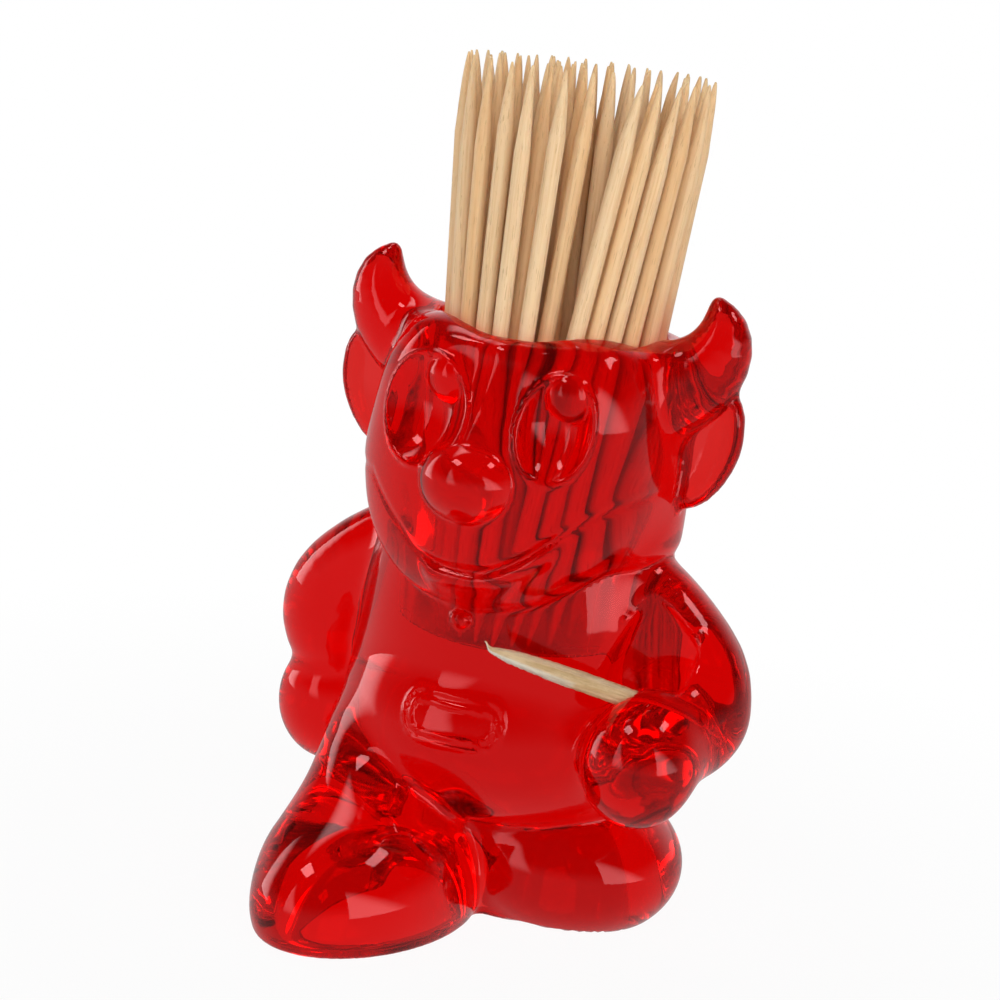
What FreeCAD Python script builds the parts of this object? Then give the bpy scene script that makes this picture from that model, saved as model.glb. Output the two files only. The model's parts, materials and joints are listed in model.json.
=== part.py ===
import FreeCAD, Part
import math
import os

import Sketcher
from FreeCAD import Placement, Rotation, Vector

# A table-top toothpick holder: a little horned devil moulded in clear red plastic, with a tapered well
# in its head, a load of loose double-pointed toothpicks standing in the well and one short pick in its fist.
# Millimetres. The origin is on the table under the middle of the whole outline, +Z is up and the face looks
# along -Y. The moulding is drawn about the axis of its well and then set down WELL_AXIS from the origin.

doc = FreeCAD.newDocument("toothpick_dispenser")
sheet = doc.addObject("Spreadsheet::Sheet", "sizes")
rows = 0


def size(name, value, note=""):
    """Write one driving dimension into the sheet under its own name."""
    global rows
    rows += 1
    sheet.set("A%d" % rows, name)
    sheet.set("B%d" % rows, repr(float(value)))
    sheet.set("C%d" % rows, note)
    sheet.setAlias("B%d" % rows, name)
    return value


def bind(part, **properties):
    """Tie properties of a part to expressions that read the sheet."""
    for name, expression in properties.items():
        part.setExpression(name.replace("__", "."), expression)
    return part


def axis_turn(first, second=None):
    """A rotation from one or two (axis letter, degrees) turns, the second applied first."""
    axes = {"x": Vector(1, 0, 0), "y": Vector(0, 1, 0), "z": Vector(0, 0, 1)}
    turn = Rotation(axes[first[0]], first[1])
    if second:
        turn = turn.multiply(Rotation(axes[second[0]], second[1]))
    return turn


def egg(name, centre, radii, turn=None):
    """An ellipsoid whose centre and three radii come from the sheet."""
    for axis, place, radius in zip("xyz", centre, radii):
        size("%s_at_%s" % (name, axis), place, "centre")
        size("%s_half_%s" % (name, axis), radius, "half width along its own axis")
    part = doc.addObject("Part::Ellipsoid", name)
    if turn:
        part.Placement = Placement(Vector(*centre), turn)
    for axis in "xyz":
        part.setExpression("Placement.Base." + axis, "sizes.%s_at_%s" % (name, axis))
    bind(part, Radius1="sizes.%s_half_z" % name, Radius2="sizes.%s_half_x" % name,
         Radius3="sizes.%s_half_y" % name)
    return part


def mirrored(name, centre, radii, turns=()):
    """A left and a right ellipsoid, mirrored in the plane X = 0."""
    pair = []
    for side, label in ((1, "right"), (-1, "left")):
        place = (side * centre[0], centre[1], centre[2])
        turn = [(letter, angle if letter == "x" else side * angle) for letter, angle in turns]
        pair.append(egg("%s_%s" % (label, name), place, radii, axis_turn(*turn) if turn else None))
    return pair


def upright_loft(name, stations):
    """A solid through level ellipses, each given as height, half width, half depth and centre along Y."""
    rings = []
    for number, (height, wide, deep, along) in enumerate(stations, 1):
        key = "%s_%d" % (name, number)
        size(key + "_level", height, "height of this section")
        size(key + "_wide", wide, "half width of this section")
        size(key + "_deep", deep, "half depth of this section")
        ring = doc.addObject("Part::Ellipse", key)
        crosswise = deep > wide
        ring.Placement = Placement(Vector(0, along, height), Rotation(Vector(0, 0, 1), 90 if crosswise else 0))
        ring.setExpression("Placement.Base.z", "sizes.%s_level" % key)
        major, minor = ("_deep", "_wide") if crosswise else ("_wide", "_deep")
        ring.MajorRadius, ring.MinorRadius = max(wide, deep), min(wide, deep)
        bind(ring, MajorRadius="sizes." + key + major, MinorRadius="sizes." + key + minor)
        rings.append(ring)
    loft = doc.addObject("Part::Loft", name)
    loft.Sections = rings
    loft.Solid = True
    loft.Ruled = False
    return loft


def limb(name, points, radii):
    """A rounded limb: a smooth solid through circles set square to its centre line."""
    points = [Vector(*p) for p in points]
    rings = []
    for number, (point, radius) in enumerate(zip(points, radii)):
        before = points[max(number - 1, 0)]
        after = points[min(number + 1, len(points) - 1)]
        key = "%s_%d" % (name, number + 1)
        size(key + "_radius", radius, "radius of this section")
        ring = doc.addObject("Part::Circle", key)
        ring.Placement = Placement(point, Rotation(Vector(0, 0, 1), after - before))
        ring.setExpression("Radius", "sizes.%s_radius" % key)
        rings.append(ring)
    loft = doc.addObject("Part::Loft", name)
    loft.Sections = rings
    loft.Solid = True
    loft.Ruled = False
    return loft


def bend(start, knee, end, count):
    """Points along a parabola that leaves start towards knee and arrives at end from knee."""
    steps = [i / (count - 1) for i in range(count)]
    return [tuple((1 - u) ** 2 * a + 2 * u * (1 - u) * b + u * u * c for a, b, c in zip(start, knee, end))
            for u in steps]


WELL_AXIS = Vector(size("well_axis_x", 0.785, "where the well's axis stands"),
                   size("well_axis_y", 8.677, "where the well's axis stands"), 0)

# ---------------------------------------------------------------- the head
cup = upright_loft("head_cup", [(43.0, 13.0, 10.4, -0.4), (45.0, 16.3, 13.4, -0.4), (48.0, 17.6, 14.8, -0.4),
                                (54.0, 17.7, 15.3, -0.4), (61.0, 17.1, 15.4, -0.4), (66.0, 16.7, 15.1, -0.4),
                                (67.8, 16.0, 14.5, -0.4)])
face = egg("face", (-0.6, -5.2, 52.1), (17.6, 14.4, 14.3), axis_turn(("x", 6)))
chin = egg("chin", (-1.4, -9.9, 44.2), (11.0, 7.2, 8.6))
nose = egg("nose", (0.0, -19.0, 51.9), (4.7, 4.5, 4.1))
nose_bridge = egg("nose_bridge", (0.0, -15.4, 58.6), (2.0, 3.0, 6.0), axis_turn(("x", 12)))
lower_lip = egg("lower_lip", (0.0, -15.8, 42.6), (6.4, 2.7, 1.6))
brows = mirrored("brow", (7.6, -12.9, 65.0), (6.4, 4.0, 3.5), [("z", 18)])
sockets = mirrored("eye_socket", (7.7, -17.2, 59.9), (5.1, 2.2, 6.6), [("z", 24)])
eyes = mirrored("eye", (7.5, -13.6, 59.8), (4.5, 3.7, 5.9), [("z", 24)])
pupils = []
for place, label in ((9.3, "right"), (-5.7, "left")):
    pupils.append(egg("%s_pupil" % label, (place, -17.9, 62.0), (2.1, 2.1, 2.1)))

ears = mirrored("ear", (19.0, -0.2, 58.0), (6.3, 1.9, 8.1), [("z", -20), ("y", -16)])
ear_hollows = mirrored("ear_hollow", (19.9, -2.1, 58.1), (4.4, 2.1, 6.2), [("z", -20), ("y", -16)])

# each horn sweeps out of the temple and turns up to a blunt point
horns = []
horn_radii = [5.6, 4.7, 3.9, 3.6, 3.4, 2.9, 2.3, 1.5, 0.5]
for side, label in ((1, "right"), (-1, "left")):
    spine = bend((side * 12.6, -1.6, 64.6), (side * 23.5, -2.4, 64.0), (side * 19.3, -3.0, 74.7), 9)
    horns.append(limb("%s_horn" % label, spine, horn_radii))

# ---------------------------------------------------------------- the trunk, legs and arms
trunk = upright_loft("trunk", [(0.0, 18.6, 14.8, 0.0), (12.0, 19.1, 16.1, 0.0), (22.0, 19.4, 16.3, 0.0),
                               (31.0, 18.1, 15.9, 0.0), (38.0, 17.3, 15.3, 0.0), (48.0, 15.2, 13.9, 0.0)])
belly = egg("belly", (-1.8, -5.6, 20.6), (15.8, 12.2, 11.4))
left_leg = egg("left_leg", (-10.6, -11.5, 12.6), (9.0, 12.6, 8.7), axis_turn(("x", 38)))
left_foot = egg("left_foot", (-7.9, -17.6, 3.3), (10.4, 16.4, 10.2), axis_turn(("z", -14.8)))
right_foot = egg("right_foot", (8.6, 0.6, 6.3), (14.2, 13.2, 9.0))
left_arm = limb("left_arm", [(-10.0, 0.8, 43.0), (-17.5, 1.0, 39.2), (-23.2, 1.4, 34.4), (-25.2, 2.5, 29.0),
                             (-24.2, 3.0, 24.0), (-23.4, 3.1, 21.0)], [5.2, 5.0, 4.6, 5.2, 5.6, 4.9])
left_fist = egg("left_fist", (-23.9, 3.2, 18.0), (6.6, 6.3, 7.2))
right_arm = limb("right_arm", [(9.5, 0.8, 43.0), (16.0, 0.8, 39.6), (21.3, 0.6, 35.2), (23.9, -0.8, 30.0),
                               (24.2, -3.2, 26.2)], [4.9, 4.7, 4.4, 4.7, 4.6])
right_elbow = egg("right_elbow", (24.0, -2.9, 25.6), (4.9, 5.0, 4.9))
right_forearm = egg("right_forearm", (22.9, -7.6, 28.0), (4.9, 9.0, 6.6), axis_turn(("z", -24.6)))
right_palm = egg("right_palm", (21.9, -10.6, 22.9), (5.2, 6.2, 5.8))
right_fist = egg("right_fist", (20.3, -14.7, 23.9), (5.65, 5.2, 6.5))

# thin webs close the crook of each arm against the trunk
size("web_thick", 2.6, "thickness of the right arm's web")
right_web = doc.addObject("Part::Box", "right_web")
right_web.Length, right_web.Height = 8.0, 13.0
right_web.Placement = Placement(Vector(15.0, -0.8, 25.0), axis_turn(("y", 4)))
right_web.setExpression("Width", "sizes.web_thick")
size("left_web_thick", 5.0, "thickness of the left arm's web")
left_web = doc.addObject("Part::Box", "left_web")
left_web.Length, left_web.Height = 9.5, 19.0
left_web.Placement = Placement(Vector(-24.5, 0.0, 18.5), axis_turn(("y", -4)))
left_web.setExpression("Width", "sizes.left_web_thick")

# a bare raised badge on the belly, drawn as a slot and pushed out of the belly's surface
size("badge_length", 12.0, "length of the badge over its round ends")
size("badge_height", 4.6, "height of the badge")
size("badge_push", 6.0, "depth of the badge block, most of it inside the belly")
badge_outline = doc.addObject("Sketcher::SketchObject", "badge_outline")
half, end = 12.0 / 2 - 2.3, 2.3
badge_outline.addGeometry(Part.LineSegment(Vector(-half, end, 0), Vector(half, end, 0)))
badge_outline.addGeometry(Part.ArcOfCircle(Part.Circle(Vector(half, 0, 0), Vector(0, 0, 1), end),
                                           -math.pi / 2, math.pi / 2))
badge_outline.addGeometry(Part.LineSegment(Vector(half, -end, 0), Vector(-half, -end, 0)))
badge_outline.addGeometry(Part.ArcOfCircle(Part.Circle(Vector(-half, 0, 0), Vector(0, 0, 1), end),
                                           math.pi / 2, 3 * math.pi / 2))
for first, first_end, second, second_end in ((0, 2, 1, 2), (1, 1, 2, 1), (2, 2, 3, 2), (3, 1, 0, 1)):
    badge_outline.addConstraint(Sketcher.Constraint("Tangent", first, first_end, second, second_end))
badge_outline.addConstraint(Sketcher.Constraint("Horizontal", 0))
badge_outline.addConstraint(Sketcher.Constraint("Symmetric", 1, 3, 3, 3, -1, 1))
radius_row = badge_outline.addConstraint(Sketcher.Constraint("Radius", 1, end))
badge_outline.renameConstraint(radius_row, "end_radius")
span_row = badge_outline.addConstraint(Sketcher.Constraint("DistanceX", 3, 3, 1, 3, 2 * half))
badge_outline.renameConstraint(span_row, "span")
badge_outline.setExpression("Constraints.end_radius", "sizes.badge_height / 2")
badge_outline.setExpression("Constraints.span", "sizes.badge_length - sizes.badge_height")
badge_outline.Placement = Placement(Vector(-0.6, -12.0, 22.9), Rotation(Vector(1, 0, 0), 70))
badge = doc.addObject("Part::Extrusion", "badge")
badge.Base = badge_outline
badge.DirMode = "Normal"
badge.Solid = True
bind(badge, LengthFwd="sizes.badge_push")

# ---------------------------------------------------------------- what is hollowed out of the moulding
size("well_floor", 32.0, "height of the floor of the well above the table")
size("well_floor_radius", 10.75, "radius of the well at its floor")
size("well_depth", 46.0, "depth of the tapered cutter, past the rim and the roots of the horns")
size("well_mouth_radius", 13.873, "radius of the tapered cutter at its top")
well = doc.addObject("Part::Cone", "well")
bind(well, Radius1="sizes.well_floor_radius", Radius2="sizes.well_mouth_radius", Height="sizes.well_depth",
     Placement__Base__z="sizes.well_floor")

# the underside is cored out from below, as thick mouldings are, up to a floor under the well
size("core_height", 26.0, "height of the hollow under the belly")
size("core_foot_radius", 13.4, "radius of that hollow at the table")
size("core_top_radius", 11.2, "radius of that hollow at its top")
core = doc.addObject("Part::Cone", "underside_core")
core.Placement.Base = Vector(0, 0, -1)
bind(core, Radius1="sizes.core_foot_radius", Radius2="sizes.core_top_radius", Height="sizes.core_height + 1")
foot_core = egg("left_foot_core", (-8.4, -16.6, -1.0), (6.4, 12.0, 9.4), axis_turn(("z", -14.8)))

size("grip_radius", 1.16, "radius of the blind hole through the fist")
size("held_radius", 1.10, "radius of the short pick in the fist")
size("held_length", 25.0, "length of the short pick")
size("held_taper", 8.0, "length of its whittled point")
size("held_tip", 0.22, "radius of its blunt tip")
held_tip = Vector(3.9, -21.0, 35.2)
held_way = (Vector(18.7, -12.0, 30.3) - held_tip).normalize()
grip = doc.addObject("Part::Cylinder", "grip_hole")
grip.Placement = Placement(held_tip + held_way * 13.0, Rotation(Vector(0, 0, 1), held_way))
bind(grip, Radius="sizes.grip_radius", Height="sizes.held_length - 13 + 0.35")

size("table_room", 30.0, "depth of the block that trims the feet level")
trim = doc.addObject("Part::Box", "level_trim")
trim.Length, trim.Width = 120.0, 120.0
trim.Placement.Base = Vector(-60, -60, -30)
bind(trim, Height="sizes.table_room", Placement__Base__z="-sizes.table_room")

# ---------------------------------------------------------------- the figure, one moulding
head_blank = doc.addObject("Part::MultiFuse", "head_blank")
head_blank.Shapes = [cup, face, chin, nose_bridge] + brows
head_socketed = doc.addObject("Part::Cut", "head_with_sockets")
head_socketed.Base = head_blank
head_socketed.Tool = sockets[0]
head_open = doc.addObject("Part::Cut", "head_with_both_sockets")
head_open.Base = head_socketed
head_open.Tool = sockets[1]
eye_pair = []
for eye, pupil in zip(eyes, pupils):
    cut_eye = doc.addObject("Part::Cut", eye.Name + "_ball")
    cut_eye.Base, cut_eye.Tool = eye, pupil
    eye_pair.append(cut_eye)
ear_pair = []
for ear, hollow in zip(ears, ear_hollows):
    cut_ear = doc.addObject("Part::Cut", ear.Name + "_leaf")
    cut_ear.Base, cut_ear.Tool = ear, hollow
    ear_pair.append(cut_ear)
limbs = [left_arm, left_fist, right_arm, right_elbow, right_forearm, right_palm, right_fist, right_web,
         left_web]
solid = doc.addObject("Part::MultiFuse", "figure_blank")
solid.Shapes = [head_open, nose, lower_lip] + eye_pair + ear_pair + horns
solid.Shapes += [trunk, belly, left_leg, left_foot, right_foot, badge] + limbs
figure = doc.addObject("Part::Cut", "devil_figure")
hollows = doc.addObject("Part::MultiFuse", "hollows")
hollows.Shapes = [core, foot_core, trim]
cored = doc.addObject("Part::Cut", "cored_figure")
cored.Base, cored.Tool = solid, hollows
welled = doc.addObject("Part::Cut", "welled_figure")
welled.Base, welled.Tool = cored, well
figure.Base, figure.Tool = welled, grip
bind(figure, Placement__Base__x="sizes.well_axis_x", Placement__Base__y="sizes.well_axis_y")

# ---------------------------------------------------------------- the toothpicks
size("pick_radius", 1.0, "radius of a round toothpick's shaft")
size("pick_length", 65.0, "length of a toothpick")
size("pick_taper", 11.0, "length of each pointed end")
size("pick_tip", 0.16, "radius of the blunt end of a point")


def profile(name, key, radius, length, taper, tip, both):
    """Half the outline of a pick, closed on its axis, with its points drawn as arcs tangent to the shaft."""
    sketch = doc.addObject("Sketcher::SketchObject", name)
    rise = radius - tip
    bow = (taper ** 2 + rise ** 2) / (2 * rise)
    spread = math.asin(taper / bow)
    flat = taper if both else 0.0
    up, plane = Vector(0, 0, 1), Vector
    lines = [Part.ArcOfCircle(Part.Circle(plane(radius - bow, length - taper, 0), up, bow), 0, spread),
             Part.LineSegment(plane(tip, length, 0), plane(0, length, 0)),
             Part.LineSegment(plane(0, length, 0), plane(0, 0, 0))]
    if both:
        lines += [Part.LineSegment(plane(0, 0, 0), plane(tip, 0, 0)),
                  Part.ArcOfCircle(Part.Circle(plane(radius - bow, taper, 0), up, bow), -spread, 0)]
    else:
        lines += [Part.LineSegment(plane(0, 0, 0), plane(radius, 0, 0))]
    lines += [Part.LineSegment(plane(radius, flat, 0), plane(radius, length - taper, 0))]
    for line in lines:
        sketch.addGeometry(line)
    last = len(lines) - 1
    joints = [(0, 2, 1, 1), (1, 2, 2, 1), (2, 2, 3, 1)]
    joints += [(3, 2, 4, 1)] if both else [(3, 2, last, 1)]
    for first, first_end, second, second_end in joints:
        sketch.addConstraint(Sketcher.Constraint("Coincident", first, first_end, second, second_end))
    sketch.addConstraint(Sketcher.Constraint("Tangent", last, 2, 0, 1))
    if both:
        sketch.addConstraint(Sketcher.Constraint("Tangent", 4, 2, last, 1))
    sketch.addConstraint(Sketcher.Constraint("Coincident", 3, 1, -1, 1))
    sketch.addConstraint(Sketcher.Constraint("Vertical", 2))
    sketch.addConstraint(Sketcher.Constraint("Vertical", last))
    sketch.addConstraint(Sketcher.Constraint("Horizontal", 1))
    sketch.addConstraint(Sketcher.Constraint("Horizontal", 3))
    driven = [("radius", "DistanceX", (3, 1, last, 1), radius), ("tip", "DistanceX", (1, 2, 1, 1), tip),
              ("length", "DistanceY", (3, 1, 2, 1), length), ("taper", "DistanceY", (0, 1, 0, 2), taper)]
    for label, kind, places, value in driven:
        row = sketch.addConstraint(Sketcher.Constraint(kind, *places, value))
        sketch.renameConstraint(row, label)
        sketch.setExpression("Constraints." + label, "sizes.%s_%s" % (key, label))
    if both:
        sketch.addConstraint(Sketcher.Constraint("Equal", 0, 4))
    sketch.Placement = Placement(Vector(0, 0, 0), Rotation(Vector(1, 0, 0), 90))
    return sketch


pick_outline = profile("pick_outline", "pick", 1.0, 65.0, 11.0, 0.16, True)
held_outline = profile("held_pick_outline", "held", 1.10, 25.0, 8.0, 0.22, False)


def turned(name, outline):
    """The solid that an outline sweeps round its own axis."""
    part = doc.addObject("Part::Revolution", name)
    part.Source = outline
    part.Axis = Vector(0, 0, 1)
    part.Base = Vector(0, 0, 0)
    part.Angle = 360.0
    part.Solid = True
    return part


# Where the toothpicks stand. Angles are degrees round the well from the side that faces a viewer standing
# 20 degrees to the right of the face, and leans are sideways millimetres gained over the last 29 mm.
# Level positions are complex numbers, X + Yj.
view = math.radians(20.0)
sideways = complex(math.cos(view), math.sin(view))
nearer = complex(math.sin(view), -math.cos(view))
RIM_RISE, SHOWN = 36.0, 29.0
sticks, leans, bundles = [], [], []


def outward(angle):
    turn = math.radians(angle)
    return math.sin(turn) * sideways + math.cos(turn) * nearer


def stand(angle, radius, lean, bundle):
    sticks.append(radius * outward(angle))
    leans.append(lean / SHOWN)
    bundles.append(bundle)


for number, (angle, aside) in enumerate([(-87, -1.2), (-66, -1.0), (-53.5, -0.2), (-41.5, 0.2), (-30.5, 0.4),
                                         (-18.5, 1.6), (5.4, 4.6), (16.5, 4.5), (33, 4.0), (49, 3.6),
                                         (65, 3.2), (86, 2.9)], 1):
    stand(angle, 12.0, aside * sideways + 1.9 * math.cos(math.radians(angle)) * nearer,
          "front_toothpick_%02d" % number)
for number, (angle, aside) in enumerate([(-34, 1.3), (-6, 2.1), (27, 3.7), (54, 3.3)], 1):
    stand(angle, 9.6, aside * sideways + 1.7 * math.cos(math.radians(angle)) * nearer,
          "inner_toothpick_%02d" % number)
for name, angles, radius, spread in (
        ("back_toothpicks_right", (100, 113.3, 126.6, 139.9), 12.0, 2.07),
        ("back_toothpicks_middle", (153.2, 166.5, 179.8, 193.1, 206.4), 12.0, 2.07),
        ("back_toothpicks_left", (219.7, 233, 246.3, 259.6), 12.0, 2.07),
        ("second_row_toothpicks_left", (-88, -71, -54), 9.6, 1.8),
        ("second_row_toothpicks_right", (74, 90, 106), 9.6, 1.8),
        ("second_row_toothpicks_back_right", (123, 140, 157, 174), 9.6, 1.8),
        ("second_row_toothpicks_back_left", (191, 208, 225, 242, 258), 9.6, 1.8),
        ("third_row_toothpicks_front", (-52, -26, 0, 26, 52), 7.2, 1.5),
        ("third_row_toothpicks_right", (78, 103, 128, 153), 7.2, 1.5),
        ("third_row_toothpicks_left", (180, 205, 230, 255, 280), 7.2, 1.5)):
    middle = sum(angles) / len(angles)
    for angle in angles:
        stand(angle, radius, spread * outward(middle) + 0.4 * sideways, name)
for radius, count in ((3.1, 8), (1.05, 2)):
    for number in range(count):
        stand(360.0 * number / count + 7.0 * radius, radius, 0j, "core_toothpicks")

# The sticks of a real load roll apart until they only touch: push each pair apart where it is too close at
# any height that a stick reaches while it is drawn out, and keep the sticks of one bundle parallel.
SPACING = 2.13
ARM = 45.0
heights = [height - RIM_RISE for height in (1, 12, 24, 36, 38, 48, 60, 80, 105, 135)]
rooms = [12.08 + rise * (13.2 - 10.75) / RIM_RISE if rise <= 2 else 99.0 for rise in heights]
total = len(sticks)
groups = [[i for i in range(total) if bundles[i] == name] for name in dict.fromkeys(bundles)]


def spots_at(rise):
    return [place[i] + lean[i] * rise for i in range(total)]


place, lean = list(sticks), list(leans)
near = [(i, j) for i in range(total) for j in range(i)
        if min(abs(sticks[i] - sticks[j] + (leans[i] - leans[j]) * rise) for rise in heights) < 4.5]
for step in range(700):
    move, tilt = [0j] * total, [0j] * total
    for rise, room in zip(heights, rooms):
        spots = spots_at(rise)
        push = [0j] * total
        for i, j in near:
            apart = spots[i] - spots[j]
            gap = abs(apart)
            if gap < SPACING:
                share = apart * (0.5 * (SPACING - gap) / max(gap, 0.001))
                push[i] += share
                push[j] -= share
        for i, spot in enumerate(spots):
            if abs(spot) > room:
                push[i] -= spot * (1 - room / abs(spot))
            move[i] += push[i]
            tilt[i] += push[i] * (rise / ARM ** 2)
    pull = 0.01 if step < 400 else 0.0
    for i in range(total):
        place[i] += 0.2 * move[i] + pull * (sticks[i] - place[i])
        lean[i] += 0.2 * tilt[i] + pull * (leans[i] - lean[i])
    for group in groups:
        shared = sum(lean[i] for i in group) / len(group)
        for i in group:
            lean[i] = 0j if bundles[i] == "core_toothpicks" else shared
least = 99.0
for height in range(1, 136, 2):
    spots = spots_at(height - RIM_RISE)
    least = min(least, min(abs(spots[i] - spots[j]) for i in range(total) for j in range(i)))
print("toothpicks in the well:", total, "least spacing of centre lines: %.3f mm" % least)
if least < 2.06:
    raise SystemExit("two toothpicks stand too close")

nodes = [figure]
for group in groups:
    name = bundles[group[0]]
    members = []
    for number, row in enumerate(group, 1):
        slope = Vector(lean[row].real, lean[row].imag, 1.0)
        foot = place[row] - lean[row] * RIM_RISE
        one = turned(name if len(group) == 1 else "%s_%02d" % (name, number), pick_outline)
        one.Placement = Placement(WELL_AXIS + Vector(foot.real, foot.imag, 32.12), Rotation(Vector(0, 0, 1), slope))
        one.setExpression("Placement.Base.z", "sizes.well_floor + 0.12")
        members.append(one)
    if len(group) > 1:
        bundle = doc.addObject("Part::Compound", name)
        bundle.Links = members
        members = [bundle]
    nodes.append(members[0])

held = turned("held_toothpick", held_outline)
held.Placement = Placement(WELL_AXIS + held_tip + held_way * 25.0, Rotation(Vector(0, 0, 1), held_way * -1))
nodes.append(held)

doc.recompute()
for part in doc.Objects:
    if "Invalid" in part.State or "Error" in part.State:
        raise SystemExit("%s did not rebuild: %s" % (part.Name, part.State))
if not 40000 < figure.Shape.Volume < 50000:
    raise SystemExit("the figure lost part of its volume: %.0f" % figure.Shape.Volume)
for node in nodes:
    node.Label = node.Name
    if node.Shape.isNull() or not node.Shape.isValid():
        raise SystemExit(node.Name + " has no valid shape")

os.makedirs("parts", exist_ok=True)
for node in nodes:
    node.Shape.exportStep("parts/%s.step" % node.Label)
    box = node.Shape.BoundBox
    print("%-34s solids %2d  volume %9.1f  x %6.1f %6.1f  y %6.1f %6.1f  z %6.1f %6.1f" % (
        node.Label, len(node.Shape.Solids), node.Shape.Volume,
        box.XMin, box.XMax, box.YMin, box.YMax, box.ZMin, box.ZMax))
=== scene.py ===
import json
import math

import bpy
import numpy as np
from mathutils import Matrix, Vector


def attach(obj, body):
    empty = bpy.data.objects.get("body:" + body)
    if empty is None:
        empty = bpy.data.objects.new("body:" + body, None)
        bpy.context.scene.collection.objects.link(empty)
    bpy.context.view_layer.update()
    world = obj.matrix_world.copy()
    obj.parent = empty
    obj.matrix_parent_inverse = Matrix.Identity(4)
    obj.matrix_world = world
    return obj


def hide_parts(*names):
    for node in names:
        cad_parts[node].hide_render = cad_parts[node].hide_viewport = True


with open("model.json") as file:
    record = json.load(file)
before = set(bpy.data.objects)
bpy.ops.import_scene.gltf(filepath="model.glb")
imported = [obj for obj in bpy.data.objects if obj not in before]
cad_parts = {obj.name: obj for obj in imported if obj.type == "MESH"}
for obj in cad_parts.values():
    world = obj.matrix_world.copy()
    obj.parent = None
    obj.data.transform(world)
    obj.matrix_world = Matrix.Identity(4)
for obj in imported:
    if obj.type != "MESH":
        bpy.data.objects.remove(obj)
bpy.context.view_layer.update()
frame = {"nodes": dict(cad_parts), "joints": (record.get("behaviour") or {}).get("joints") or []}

# ------------------------------------------------------------------ the figure
# One thick injection moulding in clear red plastic, polished in the tool: a squat horned devil with a
# tapered well in its head and a cored-out underside. Face and limbs run into the trunk through small
# moulded radii, so its whole skin is drawn as the zero level of one field of distances.

# The figure's millimetres count from the foot of the well's axis. Left and right are as seen from in front,
# where Y is lowest, and left is the negative side of X.
WELL_AXIS = (0.785, 8.677, 0.0)
WELL_FLOOR, WELL_FLOOR_RADIUS, WELL_FLARE = 32.0, 10.75, 0.0679
RIM_HEIGHT = 67.8

# centre, radii and turn about Z of each eye's bowl and of the pupil raised in it
EYE_BOWLS = [((-8.7, -21.1, 60.0), (6.7, 7.3, 7.4), -14), ((8.8, -21.3, 60.3), (5.1, 7.3, 7.4), 12)]
PUPILS = [((-5.9, -14.5, 62.6), (2.7, 2.2, 2.8), -14), ((8.2, -14.5, 62.8), (2.7, 2.2, 2.8), 16)]
BOWL_RIM = 0.22                     # how far the fine rim round each bowl stands out
NOSE, FIST = (-1.0, -17.7, 52.3), (20.9, -14.4, 23.6)
BADGE_PLACE, BADGE_HALF, BADGE_ROUND = (-0.4, -17.3, 24.6), 3.7, 2.3
GATE_NUB = (-1.5, -14.7, 35.9)      # what is left where the plastic flowed in
GRIP_TIP, GRIP_END = (3.9, -21.0, 35.2), (18.7, -12.0, 30.3)    # two points on the held pick's axis
HOLE_FROM, HOLE_TO, HOLE_RADIUS = 13.0, 25.3, 1.16              # the fist's blind hole, along that axis


def turned(letter, angle):
    """The rotation by an angle in degrees about the x, y or z axis."""
    i, j = {"x": (1, 2), "y": (2, 0), "z": (0, 1)}[letter]
    turn = np.eye(3, dtype=np.float32)
    turn[i, i] = turn[j, j] = math.cos(math.radians(angle))
    turn[j, i] = math.sin(math.radians(angle))
    turn[i, j] = -turn[j, i]
    return turn


def egg(at, centre, radii, turn=None):
    """Distance to an ellipsoid: the level of the scaled point, divided by how fast that level grows."""
    local = at - np.float32(centre)
    if turn is not None:
        local = local @ turn
    radii = np.float32(radii)
    level = np.linalg.norm(local / radii, axis=1)
    growth = np.linalg.norm(local / radii ** 2, axis=1)
    return level * (level - 1) / np.maximum(growth, 1e-6)


def rod(at, start, end, start_radius, end_radius):
    """Distance to a round rod: the gap to the nearest point of its centre line, less the radius there."""
    start, way = np.float32(start), np.float32(end) - np.float32(start)
    share = np.clip((at - start) @ way / (way @ way), 0, 1)
    return np.linalg.norm(at - start - share[:, None] * way, axis=1) - start_radius - share * (
        end_radius - start_radius)


def plate(at, centre, half, turn, edge):
    """Distance to a flat block with its edges rounded by edge."""
    over = np.abs((at - np.float32(centre)) @ turn) - np.float32(half)
    return np.linalg.norm(np.maximum(over, 0), axis=1) + np.minimum(over.max(axis=1), 0) - edge


def weld(first, second, fillet):
    """Union of two solids: the lower of the distances, eased together where they are within fillet."""
    share = np.clip(0.5 + 0.5 * (second - first) / fillet, 0, 1)
    return second + (first - second) * share - fillet * share * (1 - share)


def trim(solid, cutter, edge):
    """A solid less a cutter, with the edge between them eased by edge."""
    return -weld(-solid, cutter, edge)


def chain(at, points, radii, ease):
    """A limb: round rods from point to point, welded end to end."""
    made = rod(at, points[0], points[1], radii[0], radii[1])
    for start, end, start_radius, end_radius in zip(points[1:], points[2:], radii[1:], radii[2:]):
        made = weld(made, rod(at, start, end, start_radius, end_radius), ease)
    return made


def section_at(height, levels, values):
    """A value between levels, on cubics whose slopes are those of the neighbouring levels."""
    levels, values = np.asarray(levels, float), np.asarray(values, float)
    slopes = np.gradient(values, levels)
    low = np.clip(np.searchsorted(levels, height) - 1, 0, len(levels) - 2)
    span = levels[low + 1] - levels[low]
    t = np.clip((height - levels[low]) / span, 0, 1)
    held = (2 * t ** 3 - 3 * t ** 2 + 1) * values[low] + (3 * t ** 2 - 2 * t ** 3) * values[low + 1]
    eased = (t ** 3 - 2 * t ** 2 + t) * slopes[low] + (t ** 3 - t ** 2) * slopes[low + 1]
    return (held + span * eased).astype(np.float32)


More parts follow.
